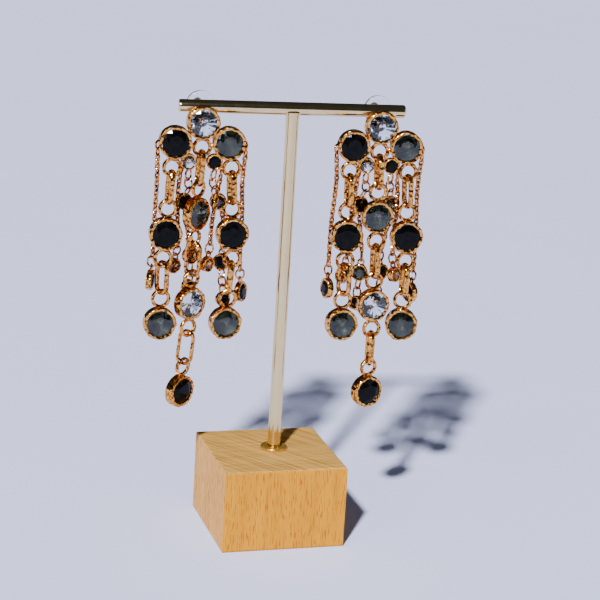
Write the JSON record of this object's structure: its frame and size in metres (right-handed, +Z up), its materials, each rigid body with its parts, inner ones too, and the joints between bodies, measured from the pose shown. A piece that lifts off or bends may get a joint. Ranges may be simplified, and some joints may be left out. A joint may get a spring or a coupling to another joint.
{
  "type": "pair of chandelier earrings on a t-bar stand",
  "caption": "Long gold-coloured chandelier earrings with round black, grey and clear stones and fine chains, hanging on a metal t-bar stand with a wooden block.",
  "frame": {"origin": "middle of the wooden block's underside", "axes": "+Z up along the rod, -Y towards the front of the earrings, +X to the right along the block's front edge"},
  "size_m": [0.0987, 0.045, 0.16],
  "materials": {
    "gold": "polished",
    "brass_tube": "polished",
    "wood": "satin",
    "clear_plastic": "gloss",
    "black_stone": "gloss",
    "grey_stone": "gloss",
    "clear_stone": "gloss"
  },
  "bodies": {
    "root": {"wood_block": "wood", "collar": "brass_tube", "t_bar": "brass_tube", "left_cluster": "gold", "left_top_stone": "clear_stone", "left_top_left_stone": "black_stone", "left_top_right_stone": "grey_stone", "left_clutch": "clear_plastic", "left_middle_link": "gold", "left_middle_setting": "gold", "left_middle_stone": "grey_stone", "left_lower_link": "gold", "left_lower_setting": "gold", "left_lower_stone": "clear_stone", "left_bottom_link": "gold", "left_bottom_setting": "gold", "left_bottom_stone": "black_stone", "left_left_upper_setting": "gold", "left_left_upper_stone": "black_stone", "left_left_lower_setting": "gold", "left_left_lower_stone": "grey_stone", "left_right_upper_setting": "gold", "left_right_upper_stone": "black_stone", "left_right_lower_setting": "gold", "left_right_lower_stone": "grey_stone", "left_outer_left_strand": "gold", "left_inner_left_strand": "gold", "left_small_left_strand": "gold", "left_small_right_strand": "gold", "left_inner_right_strand": "gold", "left_outer_right_strand": "gold", "right_cluster": "gold", "right_top_stone": "clear_stone", "right_top_left_stone": "black_stone", "right_top_right_stone": "grey_stone", "right_clutch": "clear_plastic", "right_middle_link": "gold", "right_middle_setting": "gold", "right_middle_stone": "grey_stone", "right_lower_link": "gold", "right_lower_setting": "gold", "right_lower_stone": "clear_stone", "right_bottom_link": "gold", "right_bottom_setting": "gold", "right_bottom_stone": "black_stone", "right_left_upper_setting": "gold", "right_left_upper_stone": "black_stone", "right_left_lower_setting": "gold", "right_left_lower_stone": "grey_stone", "right_right_upper_setting": "gold", "right_right_upper_stone": "black_stone", "right_right_lower_setting": "gold", "right_right_lower_stone": "grey_stone", "right_outer_left_strand": "gold", "right_inner_left_strand": "gold", "right_small_left_strand": "gold", "right_small_right_strand": "gold", "right_inner_right_strand": "gold", "right_outer_right_strand": "gold"}
  },
  "joints": []
}
